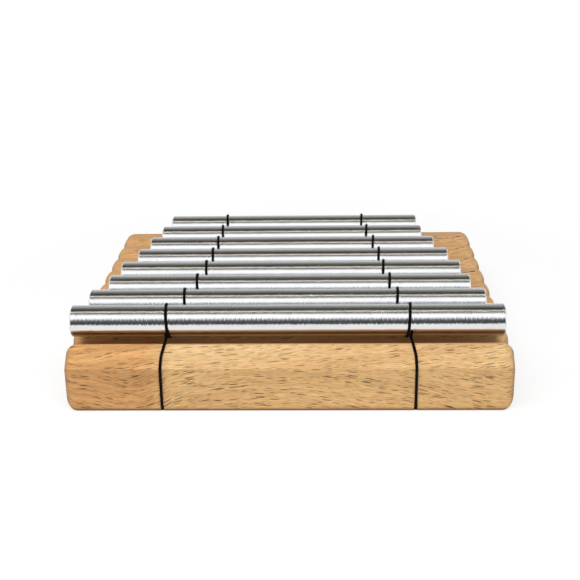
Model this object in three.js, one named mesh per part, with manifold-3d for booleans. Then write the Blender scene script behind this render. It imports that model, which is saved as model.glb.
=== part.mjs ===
// Eight-tone table chime: eight aluminium rods, held by two elastic cords on a beech block.
// Millimetres. +X runs along the rods, +Y from the longest rod to the shortest and +Z up.
// The origin lies under the middle of the block, on the table.

import * as THREE from 'three';
import { mergeVertices } from 'three/addons/utils/BufferGeometryUtils.js';
import Module from 'manifold-3d';

const wasm = await Module();
wasm.setup();

// Rods
const rodDiameter = 16;
const longestRod = 215.5;
const rodPitch = 22;
const rodEndChamfer = 0.7;

// Semitones of each rod above the lowest tone: a major scale
const toneSteps = [0, 2, 4, 5, 7, 9, 11, 12];
const semitonesPerOctave = 12;

// How far each rod sits along X from the middle of the block, as a share of the rod diameter
const rodSlideShare = [-0.047, -0.094, -0.054, -0.052, -0.007, -0.073, -0.116, -0.062];

// Block
const blockWidth = 222;
const blockHeight = 31.3;
const bevelDrop = 8.3;
const bevelRun = 10.9;
const frontLand = 1.1;
const ridgeLand = 4.6;
const backLand = 9.3;
const landUseShare = 0.95;
const coveDepth = 5;
const endRound = 6.3;
const footRound = 1.6;
const edgeSoftness = 0.8;

// Cords: flattened elastic that lies flat on whatever it passes
const cordWidth = 1.5;
const cordThickness = 0.9;
const clearance = 0.3;
const wrapDrift = 2.4;
const cordSag = 0.65;
const leadLean = 1.3;
const mouthBend = 1.6;

// Distance of each turn of cord from the middle of its rod, as a share of the rod length
const leftTurnShare = [0.279, 0.259, 0.256, 0.249, 0.259, 0.261, 0.267, 0.273];
const rightTurnShare = [0.283, 0.28, 0.279, 0.275, 0.279, 0.288, 0.29, 0.278];

// Distance of each mouth of a channel from the middle, as a share of the nearest rod's length
const frontMouthShare = 0.29;
const backMouthShare = 0.276;

// Channels and knots under the block
const channelDepth = 3;
const channelSideGap = 0.3;
const mouthRelief = 0.6;
const pocketDiameter = 10;
const pocketDepth = 5.2;
const knotDiameter = 3.4;
const knotLength = 5.4;
const cutOverrun = 2;

// Knot outline from one flat end to the other: share of its radius, share of its length
const knotOutlineShare = [
  [0.5, 0], [0.86, 0.12], [1, 0.28], [0.94, 0.42], [0.9, 0.5],
  [0.94, 0.58], [1, 0.72], [0.86, 0.88], [0.5, 1],
];

// Section of a cord: share of half its width, share of half its thickness
const cordSectionShare = [[1, 0], [0.6, 1], [-0.6, 1], [-1, 0], [-0.6, -1], [0.6, -1]];

// Measuring a cord's gap to itself: sample spacing and least distance along it, in widths
const sampleStepShare = 1 / 3;
const apartShare = 4;

// Facet counts
const rodSides = 40;
const roundSteps = 5;
const softSteps = 2;
const bendSteps = 4;
const coveSteps = 8;
const wrapSteps = 24;
const knotSides = 20;
const pocketSides = 28;

// Derived sizes
const rodRadius = rodDiameter / 2;
const seatOffset = clearance + cordThickness / 2;
const wrapRadius = rodRadius + seatOffset;
const rodCount = toneSteps.length;
const coveHalfWidth = (rodPitch - ridgeLand) / 2;
const frontMargin = bevelRun + frontLand + coveHalfWidth;
const backMargin = bevelRun + backLand + coveHalfWidth;
const blockDepth = frontMargin + (rodCount - 1) * rodPitch + backMargin;
const frontY = -blockDepth / 2;
const backY = blockDepth / 2;
const creaseHeight = blockHeight - bevelDrop;
const rodAxisHeight = blockHeight + seatOffset - cordSag + wrapRadius;
const channelWidth = cordWidth + 2 * channelSideGap;
const cordUnderHeight = channelDepth - seatOffset;

// Length of a rod: a free bar's tone rises with one over its length squared
function rodLength(index) {
  return longestRod * 2 ** (-toneSteps[index] / (2 * semitonesPerOctave));
}

function rodY(index) {
  return frontY + frontMargin + index * rodPitch;
}

function rodX(index) {
  return rodSlideShare[index] * rodDiameter;
}

// Outline geometry

// Shift that moves both edges at a corner of a counterclockwise outline inwards by one unit
function inwardShift(before, corner, after) {
  const arriving = corner.clone().sub(before).normalize();
  const leaving = after.clone().sub(corner).normalize();
  const inward = new THREE.Vector2(-arriving.y, arriving.x);
  const inwardNext = new THREE.Vector2(-leaving.y, leaving.x);
  const share = 1 + inward.dot(inwardNext);
  return inward.add(inwardNext).divideScalar(share);
}

// Points of the arc of a given radius that replaces a corner
function filletPoints(before, corner, after, radius, steps) {
  const back = before.clone().sub(corner).normalize();
  const ahead = after.clone().sub(corner).normalize();
  const halfOpening = Math.acos(back.dot(ahead)) / 2;
  const middle = back.clone().add(ahead).normalize();
  const centre = corner.clone().addScaledVector(middle, radius / Math.sin(halfOpening));
  const reach = radius / Math.tan(halfOpening);
  const from = corner.clone().addScaledVector(back, reach).sub(centre);
  const to = corner.clone().addScaledVector(ahead, reach).sub(centre);
  const turn = Math.PI - 2 * halfOpening;
  const points = [];
  for (let step = 0; step <= steps; step += 1) {
    const angle = (step / steps) * turn;
    const fromShare = Math.sin(turn - angle) / Math.sin(turn);
    const toShare = Math.sin(angle) / Math.sin(turn);
    const spoke = from.clone().multiplyScalar(fromShare).addScaledVector(to, toShare);
    points.push(centre.clone().add(spoke));
  }
  return points;
}

// Points of the coves along the top of the block, from the back ridge to the front ridge
function coveLine() {
  const coveRadius = (coveHalfWidth ** 2 + coveDepth ** 2) / (2 * coveDepth);
  const halfAngle = Math.asin(coveHalfWidth / coveRadius);
  const coveCentre = blockHeight - coveDepth + coveRadius;
  const points = [];
  for (let index = rodCount - 1; index >= 0; index -= 1) {
    for (let step = 0; step <= coveSteps; step += 1) {
      const angle = halfAngle * (1 - (2 * step) / coveSteps);
      const y = rodY(index) + coveRadius * Math.sin(angle);
      points.push(new THREE.Vector2(y, coveCentre - coveRadius * Math.cos(angle)));
    }
  }
  return points;
}

// Closed YZ outline of the block, counterclockwise, each point with its inward shift. The end
// rounds narrow the flat land behind a bevel, so its corner shifts only as far as that allows
function blockOutline() {
  const corners = [
    { y: frontY, z: 0, radius: footRound, land: Infinity },
    { y: backY, z: 0, radius: footRound, land: Infinity },
    { y: backY, z: creaseHeight, radius: edgeSoftness, land: Infinity },
    { y: backY - bevelRun, z: blockHeight, radius: edgeSoftness, land: backLand },
    { y: frontY + bevelRun, z: blockHeight, radius: edgeSoftness, land: frontLand },
    { y: frontY, z: creaseHeight, radius: edgeSoftness, land: Infinity },
  ];
  const topBackCorner = 3;
  const at = (index) => {
    const { y, z } = corners[(index + corners.length) % corners.length];
    return new THREE.Vector2(y, z);
  };
  const outline = [];
  corners.forEach(({ radius, land }, index) => {
    const neighbours = [at(index - 1), at(index), at(index + 1)];
    const rounded = filletPoints(...neighbours, radius, softSteps);
    const shift = inwardShift(...neighbours);
    const room = (landUseShare * (land - at(index).distanceTo(rounded[0]))) / endRound;
    shift.x = THREE.MathUtils.clamp(shift.x, -room, room);
    for (const point of rounded) {
      outline.push({ point, shift });
    }
    if (index === topBackCorner) {
      const down = new THREE.Vector2(0, -1);
      coveLine().forEach((point) => outline.push({ point, shift: down }));
    }
  });
  return outline;
}

// Solid helpers

function toSolid(geometry) {
  geometry.deleteAttribute('normal');
  geometry.deleteAttribute('uv');
  const merged = mergeVertices(geometry);
  return new wasm.Manifold(new wasm.Mesh({
    numProp: 3,
    vertProperties: new Float32Array(merged.attributes.position.array),
    triVerts: new Uint32Array(merged.index.array),
  }));
}

function toGeometry(solid) {
  const mesh = solid.getMesh();
  const geometry = new THREE.BufferGeometry();
  geometry.setAttribute('position', new THREE.BufferAttribute(mesh.vertProperties, 3));
  geometry.setIndex(new THREE.BufferAttribute(mesh.triVerts, 1));
  geometry.computeVertexNormals();
  return geometry;
}

// Closed surface through rings of equally many points, with given triangles closing both ends
function ringSurface(rings, capFaces) {
  const ringSize = rings[0].length;
  const faces = [];
  for (let ring = 0; ring + 1 < rings.length; ring += 1) {
    for (let side = 0; side < ringSize; side += 1) {
      const a = ring * ringSize + side;
      const b = ring * ringSize + ((side + 1) % ringSize);
      faces.push(a, b, b + ringSize, a, b + ringSize, a + ringSize);
    }
  }
  const last = (rings.length - 1) * ringSize;
  for (const [a, b, c] of capFaces) {
    faces.push(a, c, b, last + a, last + b, last + c);
  }
  const geometry = new THREE.BufferGeometry();
  const positions = rings.flat().flatMap((point) => [point.x, point.y, point.z]);
  geometry.setAttribute('position', new THREE.Float32BufferAttribute(positions, 3));
  geometry.setIndex(faces);
  geometry.computeVertexNormals();
  return geometry;
}

// Block with both ends rounded over, before its underside is cut
function plainBlock() {
  const outline = blockOutline();
  const ringAt = (x, inset) => outline.map(({ point, shift }) => new THREE.Vector3(
    x,
    point.x + shift.x * inset,
    point.y + shift.y * inset,
  ));
  const leftRings = [];
  const rightRings = [];
  for (let step = 0; step <= roundSteps; step += 1) {
    const angle = (step / roundSteps) * (Math.PI / 2);
    const inset = endRound * (1 - Math.cos(angle));
    const reach = blockWidth / 2 - endRound * (1 - Math.sin(angle));
    leftRings.unshift(ringAt(-reach, inset));
    rightRings.push(ringAt(reach, inset));
  }
  const endContour = rightRings[roundSteps].map((point) => new THREE.Vector2(point.y, point.z));
  const capFaces = THREE.ShapeUtils.triangulateShape(endContour, []);
  return ringSurface([...leftRings, ...rightRings], capFaces);
}

// Cords

const sides = {
  left: { outward: -1, turnShare: leftTurnShare },
  right: { outward: 1, turnShare: rightTurnShare },
};

// Where a turn of cord starts under its rod, crosses the top of it and ends: it drifts inwards
// slowly at first, so that it passes its own start with room to spare
function wrapX(side, index, share) {
  const topX = rodX(index) + side.outward * side.turnShare[index] * rodLength(index);
  const topShare = 0.5;
  return topX + side.outward * wrapDrift * (topShare ** 2 - share ** 2);
}

// Straight line of a cord's channel under the block, from front face to back face
function channelLine(side) {
  const frontX = side.outward * frontMouthShare * rodLength(0);
  const backX = side.outward * backMouthShare * rodLength(rodCount - 1);
  return {
    start: new THREE.Vector3(frontX, frontY, 0),
    end: new THREE.Vector3(backX, backY, 0),
  };
}

function channelAngle(side) {
  const { start, end } = channelLine(side);
  return -Math.atan2(end.x - start.x, end.y - start.y);
}

function channelX(side, y) {
  const { start, end } = channelLine(side);
  return THREE.MathUtils.mapLinear(y, start.y, end.y, start.x, end.x);
}

// Route of a cord past one face of the block, from its channel to the top: x is the depth
// behind the face and y the height
function leadLine(underDepth, topDepth) {
  const top = new THREE.Vector2(topDepth, blockHeight);
  const bevelTop = new THREE.Vector2(bevelRun, blockHeight);
  const crease = new THREE.Vector2(0, creaseHeight);
  const mouth = new THREE.Vector2(0, channelDepth);
  const roof = new THREE.Vector2(underDepth, channelDepth);
  const outwardBy = (before, corner, after) => (
    corner.clone().addScaledVector(inwardShift(before, corner, after), -seatOffset)
  );
  const start = roof.clone().setY(cordUnderHeight);
  const mouthBendAt = outwardBy(crease, mouth, roof);
  const creaseBendAt = outwardBy(bevelTop, crease, mouth);
  const topBendAt = outwardBy(top, bevelTop, crease);
  const midBevel = creaseBendAt.clone().lerp(topBendAt, 0.5);
  const end = top.clone().setY(blockHeight + seatOffset);
  const softBend = edgeSoftness + seatOffset;
  return [
    start,
    ...filletPoints(start, mouthBendAt, creaseBendAt, mouthBend, 2 * bendSteps),
    ...filletPoints(mouthBendAt, creaseBendAt, topBendAt, softBend, bendSteps),
    midBevel,
    ...filletPoints(creaseBendAt, topBendAt, end, softBend, bendSteps),
    end,
  ];
}

// A lead of a cord placed at a face: it follows its channel under the block, runs square to
// the face up to the middle of the bevel and leans inwards from there
function placedLead(side, line, faceY, inward) {
  return line.map(({ x: depth, y: height }) => {
    const y = faceY + inward * depth;
    const inChannel = depth > 0 && height < creaseHeight;
    const leanDepth = THREE.MathUtils.clamp(depth, bevelRun / 2, bevelRun);
    const leanShare = THREE.MathUtils.mapLinear(leanDepth, bevelRun / 2, bevelRun, 0, 1);
    const lean = inChannel ? 0 : side.outward * leadLean * leanShare;
    return new THREE.Vector3(channelX(side, inChannel ? y : faceY) - lean, y, height);
  });
}

// One unbroken route: knot, front face, one turn round each rod, back face, knot
function cordRoute(side) {
  const tilt = Math.cos(channelAngle(side));
  const underDepth = blockDepth / 2 - (knotLength / 2 + clearance) * tilt;
  const frontLead = leadLine(underDepth, bevelRun + frontLand);
  const backLead = leadLine(underDepth, bevelRun + backLand);
  const points = placedLead(side, frontLead, frontY, 1);
  for (let index = 0; index < rodCount; index += 1) {
    for (let step = 0; step <= wrapSteps; step += 1) {
      const share = step / wrapSteps;
      const angle = share * 2 * Math.PI;
      points.push(new THREE.Vector3(
        wrapX(side, index, share),
        rodY(index) + wrapRadius * Math.sin(angle),
        rodAxisHeight - wrapRadius * Math.cos(angle),
      ));
    }
    if (index + 1 < rodCount) {
      const ridgeX = (wrapX(side, index, 1) + wrapX(side, index + 1, 0)) / 2;
      const ridgeY = rodY(index) + rodPitch / 2;
      for (const y of [ridgeY - ridgeLand / 2, ridgeY + ridgeLand / 2]) {
        points.push(new THREE.Vector3(ridgeX, y, blockHeight + seatOffset));
      }
    }
  }
  return [...points, ...placedLead(side, backLead, backY, -1).reverse()];
}

// Band along a route, its width lying along X as nearly as the route lets it
function bandAlong(points) {
  const rings = points.map((point, index) => {
    const before = points[Math.max(index - 1, 0)];
    const after = points[Math.min(index + 1, points.length - 1)];
    const arriving = point.clone().sub(before).normalize();
    const leaving = after.clone().sub(point).normalize();
    const tangent = arriving.add(leaving).normalize();
    const sideways = new THREE.Vector3(1, 0, 0);
    sideways.addScaledVector(tangent, -sideways.dot(tangent)).normalize();
    const across = tangent.clone().cross(sideways);
    return cordSectionShare.map(([widthShare, thicknessShare]) => point.clone()
      .addScaledVector(sideways, (widthShare * cordWidth) / 2)
      .addScaledVector(across, (thicknessShare * cordThickness) / 2));
  });
  const capFaces = Array.from({ length: cordSectionShare.length - 2 }, (unused, corner) => (
    [0, corner + 1, corner + 2]
  ));
  return ringSurface(rings, capFaces);
}

// Closely spaced points along a route, with their distance along it, and the route's length
function samplesAlong(points) {
  const samples = [];
  let travelled = 0;
  for (let index = 0; index + 1 < points.length; index += 1) {
    const span = points[index].distanceTo(points[index + 1]);
    const pieces = Math.ceil(span / (sampleStepShare * cordWidth));
    for (let piece = 0; piece < pieces; piece += 1) {
      const share = piece / pieces;
      const point = points[index].clone().lerp(points[index + 1], share);
      samples.push({ point, along: travelled + share * span });
    }
    travelled += span;
  }
  return { samples, length: travelled };
}

// Least gap between two stretches of a route that lie well apart along it
function leastGap(samples) {
  let nearest = Infinity;
  samples.forEach(({ point, along }, index) => {
    for (let other = index + 1; other < samples.length; other += 1) {
      if (samples[other].along - along > apartShare * cordWidth) {
        nearest = Math.min(nearest, point.distanceTo(samples[other].point));
      }
    }
  });
  return nearest - cordWidth;
}

// Materials

function beech() {
  return new THREE.MeshStandardMaterial({ color: 0xd9ad78, roughness: 0.55, metalness: 0 });
}

function aluminium() {
  return new THREE.MeshStandardMaterial({ color: 0xc9cbce, roughness: 0.28, metalness: 1 });
}

function elastic() {
  return new THREE.MeshStandardMaterial({ color: 0x17130f, roughness: 0.7, metalness: 0 });
}

// Pieces

function namedMesh(name, geometry, material) {
  const mesh = new THREE.Mesh(geometry, material);
  mesh.name = name;
  return mesh;
}

// Channel for one cord, with relieved mouths at both faces and a drilled pocket for the knot
function undersideCuts(side) {
  const { start, end } = channelLine(side);
  const angle = channelAngle(side);
  const middle = start.clone().add(end).divideScalar(2);
  const reach = start.distanceTo(end) + 2 * cutOverrun;
  const channel = new THREE.BoxGeometry(channelWidth, reach, channelDepth + cutOverrun);
  channel.translate(0, 0, (channelDepth - cutOverrun) / 2);
  channel.rotateZ(angle);
  channel.translate(middle.x, middle.y, 0);
  const pocket = new THREE.CylinderGeometry(
    pocketDiameter / 2,
    pocketDiameter / 2,
    pocketDepth + cutOverrun,
    pocketSides,
  );
  pocket.rotateX(Math.PI / 2);
  pocket.translate(middle.x, middle.y, (pocketDepth - cutOverrun) / 2);
  const reliefs = [start, end].map((mouth) => {
    const edge = mouthRelief * Math.SQRT2;
    const relief = new THREE.BoxGeometry(channelWidth, edge, edge);
    relief.rotateX(Math.PI / 4);
    relief.translate(mouth.x, mouth.y, channelDepth);
    return relief;
  });
  return [channel, pocket, ...reliefs];
}

function makeBlock() {
  let solid = toSolid(plainBlock());
  for (const side of Object.values(sides)) {
    for (const cut of undersideCuts(side)) {
      solid = solid.subtract(toSolid(cut));
    }
  }
  return namedMesh('base_block', toGeometry(solid), beech());
}

function makeRod(index) {
  const half = rodLength(index) / 2;
  const outline = [
    new THREE.Vector2(0, -half),
    new THREE.Vector2(rodRadius - rodEndChamfer, -half),
    new THREE.Vector2(rodRadius, -half + rodEndChamfer),
    new THREE.Vector2(rodRadius, half - rodEndChamfer),
    new THREE.Vector2(rodRadius - rodEndChamfer, half),
    new THREE.Vector2(0, half),
  ];
  const rod = namedMesh(
    `tone_rod_${index + 1}`,
    new THREE.LatheGeometry(outline, rodSides),
    aluminium(),
  );
  rod.rotation.z = -Math.PI / 2;
  rod.position.set(rodX(index), rodY(index), rodAxisHeight);
  return rod;
}

function makeCord(name, side) {
  const route = cordRoute(side);
  const { samples, length } = samplesAlong(route);
  const gap = leastGap(samples);
  console.log(`${name}: ${length.toFixed(0)} mm long, least gap to itself ${gap.toFixed(2)} mm`);
  return namedMesh(name, bandAlong(route), elastic());
}

function makeKnot(name, side) {
  const outline = knotOutlineShare.map(([radiusShare, lengthShare]) => new THREE.Vector2(
    (radiusShare * knotDiameter) / 2,
    (lengthShare - 0.5) * knotLength,
  ));
  outline.unshift(new THREE.Vector2(0, outline[0].y));
  outline.push(new THREE.Vector2(0, outline[outline.length - 1].y));
  const knot = namedMesh(name, new THREE.LatheGeometry(outline, knotSides), elastic());
  knot.position.set(channelX(side, 0), 0, cordUnderHeight);
  knot.rotation.z = channelAngle(side);
  return knot;
}

const chime = new THREE.Group();
chime.add(makeBlock());
for (let index = 0; index < rodCount; index += 1) {
  chime.add(makeRod(index));
}
for (const [label, side] of Object.entries(sides)) {
  chime.add(makeCord(`cord_${label}`, side));
  chime.add(makeKnot(`knot_${label}`, side));
}

export default chime;
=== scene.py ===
import math

import bmesh
import bpy
import numpy as np
from mathutils import Matrix, Vector


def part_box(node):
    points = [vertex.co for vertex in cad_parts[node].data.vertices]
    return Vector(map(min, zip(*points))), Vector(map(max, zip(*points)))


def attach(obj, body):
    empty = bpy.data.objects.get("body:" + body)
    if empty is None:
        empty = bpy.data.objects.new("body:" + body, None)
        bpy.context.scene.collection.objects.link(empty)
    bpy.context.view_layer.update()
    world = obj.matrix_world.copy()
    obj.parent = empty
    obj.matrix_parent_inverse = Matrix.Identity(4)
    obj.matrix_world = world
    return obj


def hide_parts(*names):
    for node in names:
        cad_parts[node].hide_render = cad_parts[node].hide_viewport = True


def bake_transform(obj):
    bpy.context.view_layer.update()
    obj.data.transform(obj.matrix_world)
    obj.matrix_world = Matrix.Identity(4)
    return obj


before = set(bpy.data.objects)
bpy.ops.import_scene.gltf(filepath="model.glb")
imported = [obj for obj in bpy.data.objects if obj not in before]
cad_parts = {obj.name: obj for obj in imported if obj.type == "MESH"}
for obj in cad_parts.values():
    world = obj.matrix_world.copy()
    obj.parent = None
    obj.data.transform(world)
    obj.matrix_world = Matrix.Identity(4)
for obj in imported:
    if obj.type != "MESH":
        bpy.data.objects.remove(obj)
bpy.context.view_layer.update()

# Looks of a table chime: eight turned aluminium rods on a beech block, held by two black
# elastic cords. Lengths are in metres, written in millimetres times MM. +X runs along the
# rods, +Y from the longest rod to the shortest and +Z up.

MM = 0.001

# Block, beside what its box gives
bevel_drop = 8.3 * MM
bevel_run = 10.9 * MM
ridge_land = 4.6 * MM
cove_depth = 5 * MM
end_round = 6.3 * MM
foot_round = 1.6 * MM
edge_softness = 0.8 * MM
land_use_share = 0.95

# Cords: flattened elastic, lying flat and close on whatever it passes
cord_width = 1.5 * MM
cord_thickness = 0.9 * MM
seat_gap = 0.04 * MM
knot_clearance = 0.3 * MM
wrap_drift = 2.4 * MM
lead_lean = 1.3 * MM
mouth_bend = 1.6 * MM

# Place of each turn of cord from the middle of its rod, as a share of the rod length
left_turn_share = [0.279, 0.259, 0.256, 0.249, 0.259, 0.261, 0.267, 0.273]
right_turn_share = [0.283, 0.28, 0.279, 0.275, 0.279, 0.288, 0.29, 0.278]

# Distance of each mouth of a channel from the middle, as a share of the nearest rod's length
front_mouth_share = 0.29
back_mouth_share = 0.276

# Channels and knots under the block
channel_depth = 3 * MM
channel_side_gap = 0.12 * MM
mouth_relief = 0.4 * MM
pocket_diameter = 10 * MM
pocket_depth = 5.2 * MM
knot_length = 5.4 * MM
cut_overrun = 2 * MM

# Rod finish
rod_chamfer = 0.7 * MM
chamfer_softness = 0.12 * MM
centre_mark_radius = 1.1 * MM
centre_mark_depth = 0.6 * MM

# Edges sharper than these are shaded as edges
block_edge_angle = math.radians(24)
rod_edge_angle = math.radians(40)
cord_edge_angle = math.radians(60)

# Facet counts
fillet_steps = 8
end_round_steps = 12
cove_steps = 28
rod_sides = 160
chamfer_steps = 3
bend_steps = 12
turn_steps = 96
cord_sides = 16
pocket_sides = 64
knot_steps = 8
floor_sides = 96
hood_steps = 96

# Fine form of the cord: woven cover of crossing strands
cord_ring_step = 0.28 * MM
weave_strands = 4
weave_pitch = 3.2 * MM
weave_depth = 0.045 * MM
cord_softening = 0.4 * MM

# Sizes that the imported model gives
block_low, block_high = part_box("base_block")
rod_names = sorted(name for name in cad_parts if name.startswith("tone_rod_"))
rod_boxes = [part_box(name) for name in rod_names]
rod_centres = [(low + high) / 2 for low, high in rod_boxes]
rod_lengths = [high.x - low.x for low, high in rod_boxes]
rod_count = len(rod_names)
rod_radius = (rod_boxes[0][1].z - rod_boxes[0][0].z) / 2
rod_pitch = rod_centres[1].y - rod_centres[0].y
rod_axis_height = rod_centres[0].z
block_height = block_high.z
crease_height = block_height - bevel_drop
cove_half_width = (rod_pitch - ridge_land) / 2
front_land = rod_centres[0].y - cove_half_width - bevel_run - block_low.y
back_land = block_high.y - bevel_run - cove_half_width - rod_centres[-1].y
seat_offset = seat_gap + cord_thickness / 2
wrap_radius = rod_radius + seat_offset
channel_width = cord_width + 2 * channel_side_gap
cord_under_height = channel_depth - seat_offset


# Mesh helpers

def add_object(name, verts, faces, smooth_angle=None):
    mesh = bpy.data.meshes.new(name)
    mesh.from_pydata([tuple(v) for v in verts], [], faces)
    mesh.validate()
    piece = bpy.data.objects.new(name, mesh)
    bpy.context.scene.collection.objects.link(piece)
    if smooth_angle is not None:
        mesh.shade_smooth()
        mesh.set_sharp_from_angle(angle=smooth_angle)
    return piece


def ring_faces(ring_count, ring_size, closed_ends=True):
    """Faces of a skin through rings of equally many points, with an n-gon at each end."""
    faces = []
    for ring in range(ring_count - 1):
        for side in range(ring_size):
            a = ring * ring_size + side
            b = ring * ring_size + (side + 1) % ring_size
            faces.append((a, b, b + ring_size, a + ring_size))
    if closed_ends:
        last = (ring_count - 1) * ring_size
        faces.append(tuple(reversed(range(ring_size))))
        faces.append(tuple(last + side for side in range(ring_size)))
    return faces


def inward_shift(before, corner, after):
    """Shift that moves both edges at a corner of a counterclockwise outline inwards by one."""
    arriving = (corner - before).normalized()
    leaving = (after - corner).normalized()
    total = Vector((-arriving.y - leaving.y, arriving.x + leaving.x))
    share = 1 + arriving.dot(leaving)
    return total / share


def fillet_points(before, corner, after, radius, steps):
    """Points of the arc of a given radius that replaces a corner."""
    back = (before - corner).normalized()
    ahead = (after - corner).normalized()
    half_opening = math.acos(back.dot(ahead)) / 2
    centre = corner + (back + ahead).normalized() * (radius / math.sin(half_opening))
    reach = radius / math.tan(half_opening)
    from_spoke = corner + back * reach - centre
    to_spoke = corner + ahead * reach - centre
    turn = math.pi - 2 * half_opening
    points = []
    for step in range(steps + 1):
        angle = turn * step / steps
        spoke = from_spoke * math.sin(turn - angle) + to_spoke * math.sin(angle)
        points.append(centre + spoke / math.sin(turn))
    return points


def apply_modifier(piece, kind, **settings):
    modifier = piece.modifiers.new(kind.lower(), kind)
    for name, value in settings.items():
        setattr(modifier, name, value)
    bpy.context.view_layer.objects.active = piece
    bpy.ops.object.modifier_apply(modifier=modifier.name)


# Node helpers

def node(tree, kind, inputs=None, **settings):
    """A node whose inputs are values, or sockets to link from."""
    made = tree.nodes.new(kind)
    for name, value in settings.items():
        setattr(made, name, value)
    for name, value in (inputs or {}).items():
        if isinstance(value, bpy.types.NodeSocket):
            tree.links.new(value, made.inputs[name])
        else:
            made.inputs[name].default_value = value
    return made


def math_node(tree, operation, first, second=0.0):
    return node(tree, "ShaderNodeMath", {0: first, 1: second}, operation=operation).outputs[0]


def times(tree, first, second):
    return math_node(tree, "MULTIPLY", first, second)


def remainder(tree, share):
    """What a share leaves of one."""
    return math_node(tree, "SUBTRACT", 1.0, share)


def mix_value(tree, share, first, second):
    return node(tree, "ShaderNodeMix", {0: share, 2: first, 3: second}).outputs[0]


def mix_colour(tree, share, first, second, blend="MIX"):
    made = node(
        tree,
        "ShaderNodeMix",
        {0: share, 6: first, 7: second},
        data_type="RGBA",
        blend_type=blend,
    )
    return made.outputs[2]


def map_range(tree, value, low, high, to_low=0.0, to_high=1.0):
    inputs = {0: value, 1: low, 2: high, 3: to_low, 4: to_high}
    made = node(tree, "ShaderNodeMapRange", inputs, interpolation_type="SMOOTHSTEP")
    return made.outputs[0]


def map_linear(tree, value, low, high):
    return node(tree, "ShaderNodeMapRange", {0: value, 1: low, 2: high}).outputs[0]


def vector_math(tree, operation, inputs):
    return node(tree, "ShaderNodeVectorMath", inputs, operation=operation).outputs["Vector"]


def length(tree, vector):
    return node(tree, "ShaderNodeVectorMath", {0: vector}, operation="LENGTH").outputs["Value"]


def scaled(tree, vector, scale):
    return vector_math(tree, "MULTIPLY", {0: vector, 1: scale})


def split(tree, vector):
    """The three parts of a vector or a colour."""
    return node(tree, "ShaderNodeSeparateXYZ", {0: vector}).outputs


def joined(tree, x, y, z=0.0):
    return node(tree, "ShaderNodeCombineXYZ", {0: x, 1: y, 2: z}).outputs[0]


def ramp(tree, share, stops, interpolation="LINEAR"):
    """A grey value that follows the given places and levels, each from 0 to 1."""
    made = node(tree, "ShaderNodeValToRGB", {0: share})
    made.color_ramp.interpolation = interpolation
    elements = made.color_ramp.elements
    elements.remove(elements[-1])
    for order, (place, level) in enumerate(stops):
        element = elements[0] if order == 0 else elements.new(place)
        element.position = place
        element.color = (level, level, level, 1)
    return made.outputs[0]


def noise(tree, vector, scale, detail=2.0, roughness=0.5):
    inputs = {"Vector": scaled(tree, vector, scale), "Detail": detail, "Roughness": roughness}
    inputs["Scale"] = 1.0
    return node(tree, "ShaderNodeTexNoise", inputs).outputs["Fac"]


def bare_material(name):
    """A material without nodes, and its node tree."""
    material = bpy.data.materials.new(name)
    material.use_nodes = True
    material.node_tree.nodes.clear()
    return material, material.node_tree


def new_material(name):
    material, tree = bare_material(name)
    output = tree.nodes.new("ShaderNodeOutputMaterial")
    shader = tree.nodes.new("ShaderNodeBsdfPrincipled")
    tree.links.new(shader.outputs[0], output.inputs[0])
    return material, tree, shader


def add_relief(tree, shader, height, depth, strength, **inputs):
    inputs = {"Height": height, "Distance": depth, "Strength": strength, **inputs}
    bump = node(tree, "ShaderNodeBump", inputs)
    tree.links.new(bump.outputs[0], shader.inputs["Normal"])


def linear(red, green, blue):
    """A screen colour in 0 to 255 as linear values."""
    def channel(value):
        share = value / 255
        return share / 12.92 if share <= 0.04045 else ((share + 0.055) / 1.055) ** 2.4
    return (channel(red), channel(green), channel(blue), 1.0)


# Materials

# A scale is how often a pattern repeats in a metre along X, Y and Z. A band is the two values
# between which a share grows from nothing to its most, which is one unless it's named.

# How the grain runs on the front face, from the left end to the right one: share of the
# width, and height of one grain line in shares of the lift below
grain_line = [
    (0.0, 0.5), (0.08, 0.38), (0.15, 0.22), (0.19, 0.3), (0.24, 0.58), (0.36, 0.86),
    (0.5, 0.88), (0.66, 0.72), (0.8, 0.55), (1.0, 0.12),
]
grain_lift = 20 * MM
bevel_grain_slope = 0.07
bevel_stretch = math.hypot(bevel_run, bevel_drop) / bevel_drop
wander_scale = (24.0, 20.0, 40.0)
wander_height = 3.5 * MM
wander_depth = 9 * MM

# Which way the wood faces, by the upward part of its normals
sloping_band = (0.3, 0.6)
upward_band = (0.85, 0.97)

# Ground colours of the wood: its own colour on the front, a painted sheen on the bevel, painted
# shade on top and painted shade toward the back
front_wood = linear(247, 205, 143)
bevel_sheen_wood = linear(243, 208, 153)
top_shade_wood = linear(228, 184, 136)
back_shade_wood = linear(200, 158, 114)
back_shade_band = (-60 * MM, 0.0)
back_shade_most = 0.6

# Warm wood: patches, the left end and a line low down
warm_wood = linear(236, 180, 118)
warm_streak_wood = linear(198, 140, 84)
warm_end_band = (-54 * MM, -72 * MM)
warm_foot_band = (4.5 * MM, 2 * MM)
warm_foot_most = 0.4
patch_scale = (11.0, 30.0, 38.0)
patch_band = (0.42, 0.68)
patch_most = 0.35

# Streaks and fibres
streak_wood = linear(216, 170, 116)
streak_scale = (9.0, 180.0, 420.0)
streak_band = (0.35, 0.7)
streak_most = 0.5
fine_noise_roughness = 0.6
fibre_wood = linear(184, 134, 82)
fibre_scale = (120.0, 2000.0, 1.0)
fibre_band = (0.35, 0.68)
fibre_most = 0.5

# Ray flecks: strong ones with faint ones between them. A reach is the size of the smallest
# and of the largest fleck in a cell of one
fleck_wood = linear(78, 42, 13)
fleck_scale = (150.0, 2000.0, 1.0)
fleck_reach = (0.2, 0.46)
faint_fleck_scale = (240.0, 2900.0, 1.0)
faint_fleck_reach = (0.22, 0.48)
faint_fleck_share = 0.5
fleck_edge_band = (1.05, 0.75)
fleck_tone_band = (0.3, 0.8)
fleck_loss_on_top = 0.75
fleck_loss_on_bevel = 0.15
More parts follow.
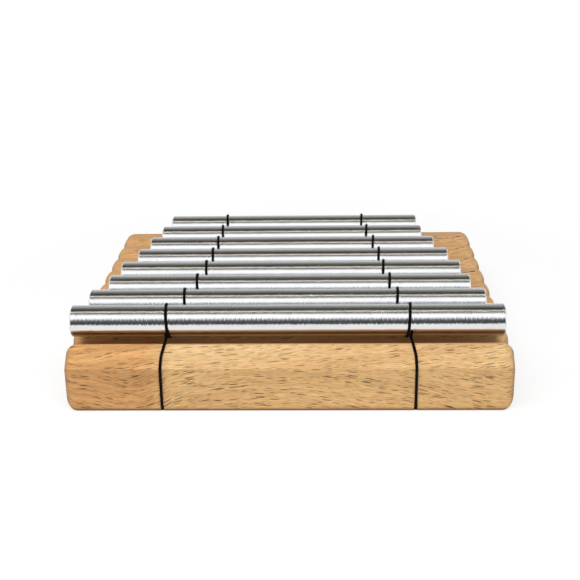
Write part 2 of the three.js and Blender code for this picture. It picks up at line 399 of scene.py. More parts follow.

# Dark wood: end grain, and painted shade along the foot where the block meets the floor
end_grain_and_shade_wood = linear(144, 100, 58)
end_grain_band = (0.55, 1.0)
end_grain_most = 0.6
foot_shade_band = (2.4 * MM, 0.8 * MM)

wood_roughness = (0.48, 0.6)
wood_gloss = 0.25
wood_relief = 0.04 * MM
wood_relief_strength = 0.5
fibre_relief_share = 0.25


def fleck_layer(tree, vector, scale, reach_range):
    """Short dashes along the grain: how much of a dash lies at each point."""
    inputs = {"Vector": scaled(tree, vector, scale), "Scale": 1.0}
    cells = node(tree, "ShaderNodeTexVoronoi", inputs, feature="F1").outputs
    tone = split(tree, cells["Color"])
    reach = map_range(tree, tone[0], 0.0, 1.0, *reach_range)
    distance = math_node(tree, "DIVIDE", cells["Distance"], reach)
    inside = map_range(tree, distance, *fleck_edge_band)
    return times(tree, inside, map_range(tree, tone[1], *fleck_tone_band))


def grain_places(tree, place, sloping, upward):
    """Places in the wood, and on its surface, both counted along and across the grain."""
    along = split(tree, place)
    # Bent along the front face, rising to the right along the bevel
    width_share = map_linear(tree, along[0], -block_high.x, block_high.x)
    bend = times(tree, ramp(tree, width_share, grain_line, "CARDINAL"), grain_lift)
    rise = times(tree, along[0], bevel_grain_slope)
    lift = mix_value(tree, sloping, bend, rise)
    wander = noise(tree, place, wander_scale)
    lift = math_node(tree, "ADD", lift, times(tree, wander, wander_height))
    level = math_node(tree, "SUBTRACT", along[2], lift)
    depth = math_node(tree, "SUBTRACT", along[1], times(tree, wander, wander_depth))
    stretch = mix_value(tree, sloping, 1.0, bevel_stretch)
    across = mix_value(tree, upward, times(tree, level, stretch), depth)
    return joined(tree, along[0], depth, level), joined(tree, along[0], across)


def wood_ground(tree, place, grain, streaks, sloping, upward):
    """Colour of the wood before its fine marks: golden, warmer in places, with painted sheen on
    the bevel and painted shade on top and toward the back.
    """
    along = split(tree, place)
    # Painted shade toward the back of the block
    painted_back_shade = times(tree, map_range(tree, along[1], *back_shade_band), back_shade_most)
    end_warmth = map_range(tree, along[0], *warm_end_band)
    end_warmth = times(tree, end_warmth, remainder(tree, painted_back_shade))
    foot_warmth = times(tree, map_range(tree, along[2], *warm_foot_band), warm_foot_most)
    patches = map_range(tree, noise(tree, grain, patch_scale), *patch_band)
    warmth = math_node(tree, "MAXIMUM", end_warmth, foot_warmth)
    warmth = math_node(tree, "MAXIMUM", times(tree, patches, patch_most), warmth)
    # The bevel gets a copy of the wood with painted sheen, and the top a copy with painted shade
    ground = mix_colour(tree, sloping, front_wood, bevel_sheen_wood)
    ground = mix_colour(tree, upward, ground, top_shade_wood)
    ground = mix_colour(tree, painted_back_shade, ground, back_shade_wood)
    warm = mix_colour(tree, streaks, warm_wood, warm_streak_wood)
    return mix_colour(tree, warmth, ground, warm)


def beech_material():
    material, tree, shader = new_material("beech")
    place = node(tree, "ShaderNodeTexCoord").outputs["Object"]
    facing = split(tree, node(tree, "ShaderNodeNewGeometry").outputs["Normal"])
    sloping = map_range(tree, facing[2], *sloping_band)
    upward = map_range(tree, facing[2], *upward_band)
    grain, surface = grain_places(tree, place, sloping, upward)

    # Ground, long soft streaks, then fine fibres
    streak = noise(tree, grain, streak_scale, 3.0, fine_noise_roughness)
    streaks = map_range(tree, streak, *streak_band)
    colour = wood_ground(tree, place, grain, streaks, sloping, upward)
    colour = mix_colour(tree, times(tree, streaks, streak_most), colour, streak_wood)
    fibre = noise(tree, surface, fibre_scale, 2.0, fine_noise_roughness)
    fibres = times(tree, map_range(tree, fibre, *fibre_band), fibre_most)
    colour = mix_colour(tree, fibres, colour, fibre_wood)

    # Flecks, weaker on top and a little weaker on the bevel
    strong = fleck_layer(tree, surface, fleck_scale, fleck_reach)
    faint = fleck_layer(tree, surface, faint_fleck_scale, faint_fleck_reach)
    flecks = math_node(tree, "MAXIMUM", strong, times(tree, faint, faint_fleck_share))
    on_top = remainder(tree, times(tree, upward, fleck_loss_on_top))
    on_bevel = remainder(tree, times(tree, sloping, fleck_loss_on_bevel))
    flecks = times(tree, flecks, times(tree, on_top, on_bevel))
    colour = mix_colour(tree, flecks, colour, fleck_wood)

    sideways = math_node(tree, "ABSOLUTE", facing[0])
    end_grain = times(tree, map_range(tree, sideways, *end_grain_band), end_grain_most)
    # Painted shade along the foot, where the block meets the floor
    painted_foot_shade = map_range(tree, split(tree, place)[2], *foot_shade_band)
    end_grain_and_foot_shade = math_node(tree, "MAXIMUM", end_grain, painted_foot_shade)
    colour = mix_colour(tree, end_grain_and_foot_shade, colour, end_grain_and_shade_wood)
    tree.links.new(colour, shader.inputs["Base Color"])

    roughness = map_range(tree, streak, 0.0, 1.0, *wood_roughness)
    tree.links.new(roughness, shader.inputs["Roughness"])
    shader.inputs["Specular IOR Level"].default_value = wood_gloss
    height = math_node(tree, "SUBTRACT", times(tree, fibre, fibre_relief_share), flecks)
    add_relief(tree, shader, height, wood_relief, wood_relief_strength)
    return material


# Turned skin of the rods, and the rings on their faced ends
chatter_scale = (1900.0, 480.0, 480.0)
ring_scale = (2600.0, 24.0, 24.0)
ring_share = 0.05
skin_relief = 0.08 * MM
end_face_band = (0.9, 0.99)
end_ring_frequency = 420.0
end_ring_share = 0.05

# Pitch and tilt of the coarse and the fine feed marks, how much their places shift along the
# rod, and how far they fade where the rod no longer faces up
feed_marks = ((2.05 * MM, 0.021), (1.14 * MM, 0.036))
feed_shift_scale = (150.0, 30.0, 30.0)
feed_shift = 5.0
feed_least = 0.4
feed_band = (-0.02, 0.2)

# Metal colours. The undersides carry a painted reflection of shaded wood, duller and browner,
# apart from their lowest part
bright_metal = linear(229, 229, 230)
worn_metal = linear(218, 218, 218)
wear_scale = (45.0, 130.0, 130.0)
wear_band = (0.45, 0.8)
wear_most = 0.5
underside_reflection_metal = linear(130, 104, 82)
underside_reflection_band = (-0.19, -0.37)
underside_reflection_most = 0.9
lowest_band = (-0.55, -0.8)
lowest_most = 0.8
metal_roughness_band = (0.2, 0.9)
metal_roughness = (0.11, 0.16)


def feed_tilted(tree, place, normal, upward_part):
    """The normal, rocked to and fro round the rod by the feed marks of turning."""
    x = split(tree, place)[0]
    shift = times(tree, noise(tree, place, feed_shift_scale, 0.0), feed_shift)
    tilt = 0.0
    for pitch, most in feed_marks:
        turn = times(tree, x, 2 * math.pi / pitch)
        wave = math_node(tree, "SINE", math_node(tree, "ADD", turn, shift))
        tilt = math_node(tree, "ADD", times(tree, wave, most), tilt)
    tilt = times(tree, tilt, map_range(tree, upward_part, *feed_band, feed_least, 1.0))
    round_rod = vector_math(tree, "CROSS_PRODUCT", {0: normal, 1: (1.0, 0.0, 0.0)})
    step = vector_math(tree, "SCALE", {0: round_rod, "Scale": tilt})
    return vector_math(tree, "ADD", {0: normal, 1: step})


def aluminium_material():
    material, tree, shader = new_material("rod_aluminium")
    coords = node(tree, "ShaderNodeTexCoord").outputs
    place = coords["Object"]
    normal = node(tree, "ShaderNodeNewGeometry").outputs["Normal"]
    facing = split(tree, normal)

    # Fine rings round the rod, broken up a little along each ring
    chatter = noise(tree, place, chatter_scale, 0.0)
    rings = noise(tree, place, ring_scale, 1.0)
    skin = math_node(tree, "ADD", chatter, times(tree, rings, ring_share))

    # Rings round the middle of each end
    middle = vector_math(tree, "SUBTRACT", {0: coords["Generated"], 1: (0.5, 0.5, 0.5)})
    radius = length(tree, scaled(tree, middle, (0.0, 1.0, 1.0)))
    end_rings = math_node(tree, "SINE", times(tree, radius, end_ring_frequency))
    end_face = map_range(tree, math_node(tree, "ABSOLUTE", facing[0]), *end_face_band)
    height = mix_value(tree, end_face, skin, times(tree, end_rings, end_ring_share))
    tilted = feed_tilted(tree, place, normal, facing[2])
    add_relief(tree, shader, height, skin_relief, 1.0, Normal=tilted)

    wear = noise(tree, place, wear_scale, 3.0)
    worn = times(tree, map_range(tree, wear, *wear_band), wear_most)
    colour = mix_colour(tree, worn, bright_metal, worn_metal)
    # Painted reflection of shaded wood on the rods' undersides
    painted_underside_reflection = times(tree, map_range(tree, facing[2], *underside_reflection_band), underside_reflection_most)
    lowest = times(tree, map_range(tree, facing[2], *lowest_band), lowest_most)
    painted_underside_reflection = times(tree, painted_underside_reflection, remainder(tree, lowest))
    colour = mix_colour(tree, painted_underside_reflection, colour, underside_reflection_metal)
    tree.links.new(colour, shader.inputs["Base Color"])
    roughness = map_range(tree, wear, *metal_roughness_band, *metal_roughness)
    tree.links.new(roughness, shader.inputs["Roughness"])
    shader.inputs["Metallic"].default_value = 1.0
    return material


# Threads of the cord's woven cover, in linear colours
thread_scale = (2600.0, 2600.0, 2600.0)
dark_thread = (0.001, 0.0008, 0.0008, 1)
pale_thread = (0.005, 0.004, 0.004, 1)
thread_band = (0.3, 0.75)
thread_relief = 0.03 * MM
thread_relief_strength = 0.6
thread_roughness_band = (0.2, 0.8)
thread_roughness = (0.5, 0.72)
thread_gloss = 0.08
thread_sheen = 0.01


def elastic_material():
    material, tree, shader = new_material("elastic_cord")
    place = node(tree, "ShaderNodeTexCoord").outputs["Object"]
    thread = noise(tree, place, thread_scale)
    pale = map_range(tree, thread, *thread_band)
    colour = mix_colour(tree, pale, dark_thread, pale_thread)
    tree.links.new(colour, shader.inputs["Base Color"])
    roughness = map_range(tree, thread, *thread_roughness_band, *thread_roughness)
    tree.links.new(roughness, shader.inputs["Roughness"])
    shader.inputs["Specular IOR Level"].default_value = thread_gloss
    shader.inputs["Sheen Weight"].default_value = thread_sheen
    add_relief(tree, shader, thread, thread_relief, thread_relief_strength)
    return material


beech = beech_material()
aluminium = aluminium_material()
elastic = elastic_material()


# Block

def cove_line():
    """Points of the coves along the top, from the back ridge to the front ridge."""
    radius = (cove_half_width ** 2 + cove_depth ** 2) / (2 * cove_depth)
    half_angle = math.asin(cove_half_width / radius)
    centre_height = block_height - cove_depth + radius
    points = []
    for centre in reversed(rod_centres):
        for step in range(cove_steps + 1):
            angle = half_angle * (1 - 2 * step / cove_steps)
            y = centre.y + radius * math.sin(angle)
            points.append(Vector((y, centre_height - radius * math.cos(angle))))
    return points


def block_outline():
    """Closed YZ outline, counterclockwise, each point with its inward shift at the ends."""
    front = block_low.y
    back = block_high.y
    corners = [
        (Vector((front, 0)), foot_round, math.inf),
        (Vector((back, 0)), foot_round, math.inf),
        (Vector((back, crease_height)), edge_softness, math.inf),
        (Vector((back - bevel_run, block_height)), edge_softness, back_land),
        (Vector((front + bevel_run, block_height)), edge_softness, front_land),
        (Vector((front, crease_height)), edge_softness, math.inf),
    ]
    outline = []
    for index, (corner, radius, land) in enumerate(corners):
        before = corners[index - 1][0]
        after = corners[(index + 1) % len(corners)][0]
        rounded = fillet_points(before, corner, after, radius, fillet_steps)
        shift = inward_shift(before, corner, after)
        room = land_use_share * (land - (corner - rounded[0]).length) / end_round
        shift.x = min(max(shift.x, -room), room)
        outline += [(point, shift) for point in rounded]
        if land == back_land:
            outline += [(point, Vector((0, -1))) for point in cove_line()]
    return outline


def cut_boxes(side):
    """Channel and mouth reliefs for one cord, and the pocket for its knot, as cutters."""
    start = channel_end(side, "front")
    end = channel_end(side, "back")
    middle = (start + end) / 2
    angle = -math.atan2(end.x - start.x, end.y - start.y)
    cutters = []

    def box(size, place, turn):
        bm = bmesh.new()
        bmesh.ops.create_cube(bm, size=1.0)
        bmesh.ops.scale(bm, vec=size, verts=bm.verts)
        bmesh.ops.transform(bm, matrix=Matrix.Translation(place) @ turn, verts=bm.verts)
        cutters.append(bm)

    reach = (end - start).length + 2 * cut_overrun
    channel_place = Vector((middle.x, middle.y, (channel_depth - cut_overrun) / 2))
    box(
        (channel_width, reach, channel_depth + cut_overrun),
        channel_place,
        Matrix.Rotation(angle, 4, "Z"),
    )
    edge = mouth_relief * math.sqrt(2)
    for mouth in (start, end):
        place = Vector((mouth.x, mouth.y, channel_depth))
        box((channel_width, edge, edge), place, Matrix.Rotation(math.pi / 4, 4, "X"))
    pocket = bmesh.new()
    bmesh.ops.create_cone(
        pocket,
        cap_ends=True,
        segments=pocket_sides,
        radius1=pocket_diameter / 2,
        radius2=pocket_diameter / 2,
        depth=pocket_depth + cut_overrun,
    )
    pocket_place = Vector((middle.x, middle.y, (pocket_depth - cut_overrun) / 2))
    bmesh.ops.translate(pocket, vec=pocket_place, verts=pocket.verts)
    cutters.append(pocket)
    return cutters


def make_block():
    outline = block_outline()
    reach = block_high.x
    stations = []
    for step in range(end_round_steps + 1):
        angle = (step / end_round_steps) * math.pi / 2
        inset = end_round * (1 - math.cos(angle))
        stations.append((reach - end_round * (1 - math.sin(angle)), inset))
    rings = [(-x, inset) for x, inset in reversed(stations)] + stations
    verts = []
    for x, inset in rings:
        verts += [(x, p.x + s.x * inset, p.y + s.y * inset) for p, s in outline]
    block = add_object("beech_block", verts, ring_faces(len(rings), len(outline)))
    for side in sides.values():
        for bm in cut_boxes(side):
            mesh = bpy.data.meshes.new("cutter")
            bm.to_mesh(mesh)
            bm.free()
            cutter = bpy.data.objects.new("cutter", mesh)
            bpy.context.scene.collection.objects.link(cutter)
            apply_modifier(block, "BOOLEAN", object=cutter, operation="DIFFERENCE", solver="EXACT")
            bpy.data.objects.remove(cutter)
    block.data.shade_smooth()
    block.data.set_sharp_from_angle(angle=block_edge_angle)
    apply_modifier(block, "WEIGHTED_NORMAL", keep_sharp=True)
    block.data.materials.append(beech)
    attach(block, "base")
    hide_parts("base_block")


# Rods

def make_rod(index):
    """A turned rod: soft-edged chamfers, and a shallow centre mark in each faced end."""
    half = rod_lengths[index] / 2
    centre = rod_centres[index]
    profile_points = [
        Vector((half - centre_mark_depth, 0)),
        Vector((half, centre_mark_radius)),
        Vector((half, rod_radius - rod_chamfer)),
        Vector((half - rod_chamfer, rod_radius)),
        Vector((-half + rod_chamfer, rod_radius)),
        Vector((-half, rod_radius - rod_chamfer)),
        Vector((-half, centre_mark_radius)),
        Vector((-half + centre_mark_depth, 0)),
    ]
    profile = []
    for before, corner, after in zip(profile_points, profile_points[1:], profile_points[2:]):
        profile += fillet_points(before, corner, after, chamfer_softness, chamfer_steps)
    verts = []
    for x, radius in profile:
        for side in range(rod_sides):
            angle = 2 * math.pi * side / rod_sides
            y = centre.y + radius * math.cos(angle)
            z = centre.z - radius * math.sin(angle)
            verts.append((centre.x + x, y, z))
    faces = ring_faces(len(profile), rod_sides, closed_ends=False)
    last = (len(profile) - 1) * rod_sides
    for end_ring, tip in ((0, profile_points[0]), (last, profile_points[-1])):
        verts.append((centre.x + tip.x, centre.y, centre.z))
        for side in range(rod_sides):
            a = end_ring + side
            b = end_ring + (side + 1) % rod_sides
            faces.append((len(verts) - 1, b, a) if end_ring == 0 else (len(verts) - 1, a, b))
    rod = add_object(f"rod_{index + 1}", verts, faces, smooth_angle=rod_edge_angle)
    rod.data.materials.append(aluminium)
    apply_modifier(rod, "WEIGHTED_NORMAL", keep_sharp=True)
    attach(rod, f"rod_{index + 1}")
    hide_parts(rod_names[index])


# Cords

sides = {
    "left": {"outward": -1, "turn_share": left_turn_share},
    "right": {"outward": 1, "turn_share": right_turn_share},
}


def wrap_x(side, index, share):
    """Where a turn lies along its rod, by its share of the way round from below."""
    reach = side["turn_share"][index] * rod_lengths[index]
    top_share = 0.5
    drift = wrap_drift * (top_share ** 2 - share ** 2)
    return rod_centres[index].x + side["outward"] * (reach + drift)


def channel_end(side, face):
    """Where a cord's channel meets the front or back face."""
    if face == "front":
        reach = front_mouth_share * rod_lengths[0]
        return Vector((side["outward"] * reach, block_low.y, 0))
    reach = back_mouth_share * rod_lengths[-1]
    return Vector((side["outward"] * reach, block_high.y, 0))


def channel_x(side, y):
    start = channel_end(side, "front")
    end = channel_end(side, "back")
    return start.x + (end.x - start.x) * (y - start.y) / (end.y - start.y)


def lead_line(under_depth, top_depth):
    """Depth behind a face and height of a lead, from the channel's roof to the block's top."""
    top = Vector((top_depth, block_height))
    bevel_top = Vector((bevel_run, block_height))
    crease = Vector((0, crease_height))
    mouth = Vector((0, channel_depth))
    roof = Vector((under_depth, channel_depth))

    def outward_by(before, corner, after):
        return corner - inward_shift(before, corner, after) * seat_offset

    start = Vector((under_depth, cord_under_height))
    mouth_bend_at = outward_by(crease, mouth, roof)
    crease_bend_at = outward_by(bevel_top, crease, mouth)
    top_bend_at = outward_by(top, bevel_top, crease)
    mid_bevel = (crease_bend_at + top_bend_at) / 2
    end = Vector((top_depth, block_height + seat_offset))
    soft_bend = edge_softness + seat_offset
    line = [start]
    line += fillet_points(start, mouth_bend_at, crease_bend_at, mouth_bend, 2 * bend_steps)
    line += fillet_points(mouth_bend_at, crease_bend_at, top_bend_at, soft_bend, bend_steps)
    line.append(mid_bevel)
    line += fillet_points(crease_bend_at, top_bend_at, end, soft_bend, bend_steps)
    line.append(end)
    return line


def placed_lead(side, line, face_y, inward):
    """A lead at a face: in its channel, square to the face, then leaning inwards."""
    points = []
    for depth, height in line:
        y = face_y + inward * depth
        if depth > 0 and height < crease_height:
            points.append(Vector((channel_x(side, y), y, height)))
            continue
        lean_share = min(max(2 * depth / bevel_run - 1, 0), 1)
        x = channel_x(side, face_y) - side["outward"] * lead_lean * lean_share
        points.append(Vector((x, y, height)))
    return points


def cord_sections(side):
    """The cord's route in named sections, each starting where the one before it ends."""
    start = channel_end(side, "front")
    end = channel_end(side, "back")
    tilt = (end.y - start.y) / (end - start).length
    under_depth = (block_high.y - block_low.y) / 2 - (knot_length / 2 + knot_clearance) * tilt
    front_line = lead_line(under_depth, bevel_run + front_land)
    back_line = lead_line(under_depth, bevel_run + back_land)
    ridge_height = block_height + seat_offset
    front_lead = placed_lead(side, front_line, block_low.y, 1)
    back_lead = placed_lead(side, back_line, block_high.y, -1)
    sections = [("front_lead", front_lead)]
    for index, centre in enumerate(rod_centres):
        turn = []
        for step in range(turn_steps + 1):
            share = step / turn_steps
            angle = 2 * math.pi * share
            turn.append(Vector((
                wrap_x(side, index, share),
                centre.y + wrap_radius * math.sin(angle),
                rod_axis_height - wrap_radius * math.cos(angle),
            )))
        rise = [sections[-1][1][-1]]
        if index > 0:
            rise.append(rise[0] + Vector((0, ridge_land / 2, 0)))
        rise.append(turn[0])
        fall = [turn[-1]]
        ridge_y = centre.y + rod_pitch / 2
        if index + 1 < rod_count:
            ridge_x = (wrap_x(side, index, 1) + wrap_x(side, index + 1, 0)) / 2
            fall.append(Vector((ridge_x, ridge_y - ridge_land / 2, ridge_height)))
            fall.append(Vector((ridge_x, ridge_y, ridge_height)))
        else:
            fall.append(back_lead[-1])
        sections += [(f"rise_{index + 1}", rise), (f"turn_{index + 1}", turn)]
        sections.append((f"fall_{index + 1}", fall))
    sections.append(("back_lead", list(reversed(back_lead))))
    return sections


def resampled(points, step):
    """Points at even distances along a polyline, and the distance of each old point."""
    points = np.array([tuple(p) for p in points])
    spans = np.linalg.norm(np.diff(points, axis=0), axis=1)
    along = np.concatenate([[0.0], np.cumsum(spans)])
    count = max(2, int(round(along[-1] / step)) + 1)
    even = np.linspace(0.0, along[-1], count)
    return np.stack([np.interp(even, along, points[:, k]) for k in range(3)], axis=1), along


def softened(points, spread):
    """Points averaged along the path with a bell of the given spread, both ends kept."""
    reach = int(math.ceil(3 * spread))
    bell = np.exp(-0.5 * (np.arange(-reach, reach + 1) / spread) ** 2)
    bell /= bell.sum()
    before = 2 * points[0] - points[reach:0:-1]
    after = 2 * points[-1] - points[-2:-reach - 2:-1]
    padded = np.concatenate([before, points, after])
    return np.stack([np.convolve(padded[:, k], bell, "valid") for k in range(3)], axis=1)


def band_rings(points, sideways=(1.0, 0.0, 0.0), fixed=True):
    """Rings of a woven band along a path, its width along a fixed or a carried direction."""
    tangents = np.gradient(points, axis=0)
    tangents /= np.linalg.norm(tangents, axis=1)[:, None]
    sideways = np.array(sideways)
    angles = 2 * math.pi * np.arange(cord_sides) / cord_sides
    rings = []
    for index, (point, tangent) in enumerate(zip(points, tangents)):
        level = sideways - tangent * sideways.dot(tangent)
        level /= np.linalg.norm(level)
        across = np.cross(tangent, level)
        if not fixed:
            sideways = level
        phase = 2 * math.pi * index * cord_ring_step / weave_pitch
        one_way = np.cos(weave_strands * (angles + phase))
        other_way = np.cos(weave_strands * (angles - phase))
        relief = weave_depth * (1 - np.maximum(one_way, other_way)) / 2
        widths = (cord_width / 2 - relief) * np.cos(angles)
        heights = (cord_thickness / 2 - relief) * np.sin(angles)
        rings.append(point + np.outer(widths, level) + np.outer(heights, across))
    return rings


def ride_cord_piece(piece, label):
    """Leads and turns ride on one body; what spans from a ridge to a rod stays where it was made.
    """
    kind, _, number = label.partition("_")
    if kind in ("front", "back"):
        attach(piece, "base")
        return
    body = f"rod_{number}"
    if kind == "turn":
        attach(piece, body)
        return
    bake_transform(piece)


def make_cord(label, side):
    sections = cord_sections(side)
    route = [sections[0][1][0]]
    ends = []
    for _, points in sections:
        route += points[1:]
        ends.append(len(route) - 1)
    even, along = resampled(route, cord_ring_step)
    step = along[-1] / (len(even) - 1)
    path = softened(even, cord_softening / step)
    rings = band_rings(path)
    first = 0
    for (section, _), end in zip(sections, ends):
        last = int(round(along[end] / step))
        part = rings[first:last + 1]
        verts = np.concatenate(part)
        faces = ring_faces(len(part), cord_sides)
        piece = add_object(f"{label}_{section}", verts, faces, smooth_angle=cord_edge_angle)
        piece.data.materials.append(elastic)
        ride_cord_piece(piece, section)
        if section in ("front_lead", "back_lead"):
            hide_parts(f"cord_{label}")
        first = last


# Knots

# Overhand knot, pulled tight: sideways, upwards and along the cord, in knot lengths
knot_path_shares = [
    (0.0, 0.0, -0.5), (0.05, 0.02, -0.36), (0.2, 0.1, -0.2), (0.24, -0.06, 0.02),
    (0.1, -0.2, 0.2), (-0.12, -0.16, 0.26), (-0.24, 0.02, 0.12), (-0.14, 0.2, -0.06),
    (0.08, 0.18, -0.22), (0.22, 0.0, -0.16), (0.16, -0.16, 0.04), (-0.08, -0.1, 0.22),
    (-0.05, 0.0, 0.38), (0.0, 0.0, 0.5),
]
tail_path_shares = [(-0.1, -0.05, 0.1), (-0.3, -0.1, 0.22), (-0.52, -0.12, 0.3)]
knot_cord_share = 0.8


def smooth_curve(points, count):
    """Points along a smooth curve through a few given ones."""
    points = np.array(points)
    padded = np.concatenate([[2 * points[0] - points[1]], points, [2 * points[-1] - points[-2]]])
    result = []
    for place in np.linspace(0, len(points) - 1, count):
        start = min(int(place), len(points) - 2)
        t = place - start
        a, b, c, d = padded[start:start + 4]
        result.append(0.5 * (2 * b + (c - a) * t + (2 * a - 5 * b + 4 * c - d) * t ** 2
                             + (3 * b - a - 3 * c + d) * t ** 3))
    return np.array(result)


def make_knot(label, side):
    start = channel_end(side, "front")
    end = channel_end(side, "back")
    middle = (start + end) / 2
    angle = -math.atan2(end.x - start.x, end.y - start.y)
    turned = Matrix.Rotation(angle, 3, "Z")
    tails = [
        tail_path_shares,
        [(-x, -z, -y) for x, z, y in tail_path_shares],
    ]
    verts = []
    faces = []
    for shares in [knot_path_shares, *tails]:
        points = []
        for x, z, y in smooth_curve(shares, knot_steps * len(shares)):
            place = turned @ Vector((x, y, z)) * knot_length
            points.append(place + Vector((middle.x, middle.y, cord_under_height)))
        even, _ = resampled(points, cord_ring_step)
        centres = np.repeat(even, cord_sides, axis=0)
        skin = np.concatenate(band_rings(even, fixed=False))
        skin = centres + (skin - centres) * knot_cord_share
        offset = len(verts)
        verts += [tuple(v) for v in skin]
        faces += [tuple(offset + i for i in face) for face in ring_faces(len(even), cord_sides)]
    knot = add_object(f"{label}_knot", verts, faces, smooth_angle=cord_edge_angle)
    knot.data.materials.append(elastic)
    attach(knot, "base")
    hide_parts(f"knot_{label}")


make_block()
for index in range(rod_count):
    make_rod(index)
for label, side in sides.items():
    make_cord(label, side)
    make_knot(label, side)


# Camera, fitted to the ends, tops and spacing of the rods in the photograph

image_width_px = 580
focal_px = 1093.8
sensor_width_mm = 36.0
clip_near = 0.01
clip_far = 50.0
camera_aside = 17.7 * MM
camera_ahead = 504.9 * MM
camera_above = 205.3 * MM
camera_yaw = math.radians(-1.9)
camera_pitch = math.radians(20.535)
camera_roll = math.radians(-0.94)


def make_camera():
    """The camera, placed from the axis of the front rod."""
    front_axis = Vector((0, rod_centres[0].y, rod_axis_height))
    place = front_axis + Vector((camera_aside, -camera_ahead, camera_above))
    data = bpy.data.cameras.new("camera")
    data.sensor_width = sensor_width_mm
    data.sensor_fit = "HORIZONTAL"
    data.lens = sensor_width_mm * focal_px / image_width_px
    data.clip_start = clip_near
    data.clip_end = clip_far
    forward = Vector((
        math.sin(camera_yaw) * math.cos(camera_pitch),
        math.cos(camera_yaw) * math.cos(camera_pitch),
        -math.sin(camera_pitch),
    ))
    level = Vector((math.cos(camera_yaw), -math.sin(camera_yaw), 0))
    up = level.cross(forward)
    right = level * math.cos(camera_roll) + up * math.sin(camera_roll)
    up = up * math.cos(camera_roll) - level * math.sin(camera_roll)
    camera = bpy.data.objects.new("camera", data)
    turned = Matrix((right, up, -forward)).transposed().to_4x4()
    camera.matrix_world = Matrix.Translation(place) @ turned
    bpy.context.scene.collection.objects.link(camera)
    bpy.context.scene.camera = camera


# Studio

# The floor and its glow, brighter far away, and how much of its own light the camera sees
floor_radius = 6.0
floor_drop = 0.05 * MM
floor_paint = 0.7
floor_fill_near = 0.745
floor_fill_far = 0.95
floor_keep = 0.4
near_reach = 0.2
far_reach = 0.5

# The hood that the rods mirror, the level at which it and the world light the wood, and the
# key lamp above the front
hood_radius = 5.0
hood_reach = 7.0
apron_reach = 0.28
ambient_level = 0.28
key_elevation = math.radians(60)
key_azimuth = math.radians(-10)
key_distance = 1.6
key_width = 2.6
key_height = 0.8
key_watts = 27.5

# Tint of the hood, warm between the two bands, in shares of the way from front to back
cool_light = (0.97, 0.98, 1.0, 1)
warm_light = (1.0, 0.94, 0.82, 1)
warm_light_band = (0.37, 0.43)
warm_light_end_band = (0.82, 0.62)

# What the rods mirror, seen in turn from straight ahead over the top to straight behind:
# degrees and brightness of dark panels, a wide soft light, a thin strip and a pale wall
hood_stops = [
    (-4, 0.09), (4, 0.075), (13, 0.08), (21, 0.19), (26, 0.28), (29, 0.53), (34, 0.95), (41, 1.32),
    (60, 1.35), (64, 1.15), (67, 0.7), (71, 0.34), (76, 0.15), (80, 0.09), (83, 0.09),
    (84.5, 0.3), (85.6, 2.4), (88.4, 2.4), (89.5, 0.3), (91, 0.08), (98, 0.065), (107, 0.07),
    (113, 0.11), (119, 0.17), (130, 0.27), (143, 0.5), (155, 0.62), (177, 0.66),
]


def seen_share(tree):
    """One for camera, glossy and transmission rays that no matt surface scattered, else zero."""
    path = node(tree, "ShaderNodeLightPath").outputs
    share = math_node(tree, "MAXIMUM", path["Is Camera Ray"], path["Is Glossy Ray"])
    share = math_node(tree, "MAXIMUM", share, path["Is Transmission Ray"])
    direct = math_node(tree, "LESS_THAN", path["Diffuse Depth"], 0.5)
    return times(tree, share, direct)


def clear_of_block(tree, place):
    """Zero where the block stands on the floor, and one beside it."""
    along = split(tree, place)
    outside = []
    foot_reach = (block_high.x - end_round - foot_round, block_high.y - foot_round)
    for axis, reach in enumerate(foot_reach):
        distance = math_node(tree, "ABSOLUTE", along[axis])
        outside.append(math_node(tree, "GREATER_THAN", distance, reach))
    return math_node(tree, "MAXIMUM", *outside)


def make_floor():
    bm = bmesh.new()
    bmesh.ops.create_circle(bm, cap_ends=True, segments=floor_sides, radius=floor_radius)
    mesh = bpy.data.meshes.new("floor")
    bm.to_mesh(mesh)
    bm.free()
    floor = bpy.data.objects.new("floor", mesh)
    floor.location.z = -floor_drop
    bpy.context.scene.collection.objects.link(floor)
    material, tree = bare_material("floor")
    seen = seen_share(tree)
    colour = (floor_paint, floor_paint, floor_paint, 1)
    paint = node(tree, "ShaderNodeBsdfDiffuse", {"Color": colour}).outputs[0]
    kept = remainder(tree, times(tree, seen, 1 - floor_keep))
    dim = node(tree, "ShaderNodeMixShader", {0: kept, 2: paint}).outputs[0]
    place = node(tree, "ShaderNodeTexCoord").outputs["Object"]
    distance = length(tree, place)
    fill = map_range(tree, distance, near_reach, far_reach, floor_fill_near, floor_fill_far)
    strength = times(tree, times(tree, seen, clear_of_block(tree, place)), fill)
    glow = node(tree, "ShaderNodeEmission", {"Strength": strength}).outputs[0]
    both = node(tree, "ShaderNodeAddShader", {0: dim, 1: glow}).outputs[0]
    node(tree, "ShaderNodeOutputMaterial", {0: both})
    mesh.materials.append(material)


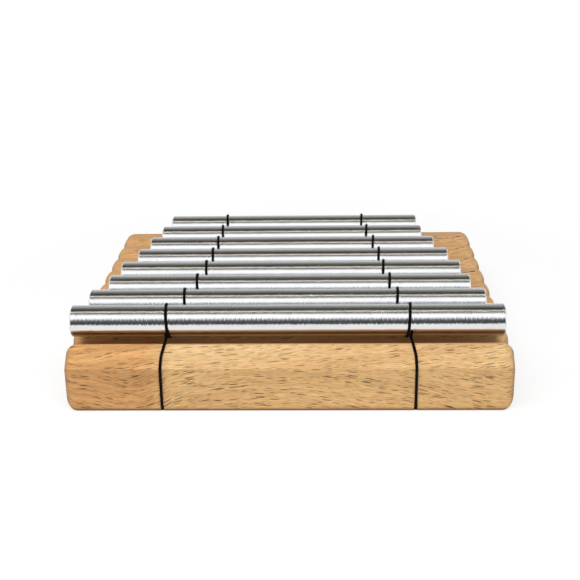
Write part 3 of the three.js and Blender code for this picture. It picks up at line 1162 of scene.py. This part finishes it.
def make_hood():
    """A hood round the rods' own direction that only mirrors and glass see."""
    first, last = (math.radians(hood_stops[k][0]) for k in (0, -1))
    apron_edge = rod_centres[0].y - apron_reach
    verts = [(x, apron_edge, floor_drop) for x in (-hood_reach, hood_reach)]
    for step in range(hood_steps + 1):
        angle = first + (last - first) * step / hood_steps
        y = -hood_radius * math.cos(angle)
        z = max(hood_radius * math.sin(angle), floor_drop)
        verts += [(-hood_reach, y, z), (hood_reach, y, z)]
    faces = [(2 * k, 2 * k + 1, 2 * k + 3, 2 * k + 2) for k in range(hood_steps + 1)]
    hood = add_object("hood", verts, faces)
    material, tree = bare_material("hood")
    along = split(tree, node(tree, "ShaderNodeTexCoord").outputs["Object"])
    ahead = times(tree, along[1], -1.0)
    angle = math_node(tree, "ARCTAN2", along[2], ahead)
    share = math_node(tree, "DIVIDE", angle, math.pi)
    peak = max(level for _, level in hood_stops)
    stops = [(max(degrees / 180, 0.0), level / peak) for degrees, level in hood_stops]
    warm = map_range(tree, share, *warm_light_band)
    warm = times(tree, warm, map_range(tree, share, *warm_light_end_band))
    tint = mix_colour(tree, warm, cool_light, warm_light)
    colour = mix_colour(tree, 1.0, ramp(tree, share, stops), tint, "MULTIPLY")
    strength = math_node(tree, "MAXIMUM", seen_share(tree), ambient_level)
    strength = times(tree, strength, peak)
    glow = node(tree, "ShaderNodeEmission", {"Color": colour, "Strength": strength})
    node(tree, "ShaderNodeOutputMaterial", {0: glow.outputs[0]})
    hood.data.materials.append(material)
    hood.visible_camera = False
    hood.visible_diffuse = False
    hood.visible_shadow = False


def make_world():
    world = bpy.data.worlds.new("studio")
    world.use_nodes = True
    tree = world.node_tree
    tree.nodes.clear()
    strength = math_node(tree, "MAXIMUM", seen_share(tree), ambient_level)
    glow = node(tree, "ShaderNodeBackground", {"Color": (1, 1, 1, 1), "Strength": strength})
    node(tree, "ShaderNodeOutputWorld", {0: glow.outputs[0]})
    bpy.context.scene.world = world


def make_key():
    data = bpy.data.lights.new("key", "AREA")
    data.shape = "RECTANGLE"
    data.size = key_width
    data.size_y = key_height
    data.energy = key_watts
    key = bpy.data.objects.new("key", data)
    level = Vector((math.sin(key_azimuth), -math.cos(key_azimuth), 0))
    toward = level * math.cos(key_elevation) + Vector((0, 0, math.sin(key_elevation)))
    key.location = toward * key_distance
    key.rotation_euler = toward.to_track_quat("Z", "Y").to_euler()
    key.visible_glossy = False
    key.visible_transmission = False
    bpy.context.scene.collection.objects.link(key)


make_camera()
make_floor()
make_hood()
make_world()
make_key()
bpy.context.scene.view_settings.view_transform = "Standard"
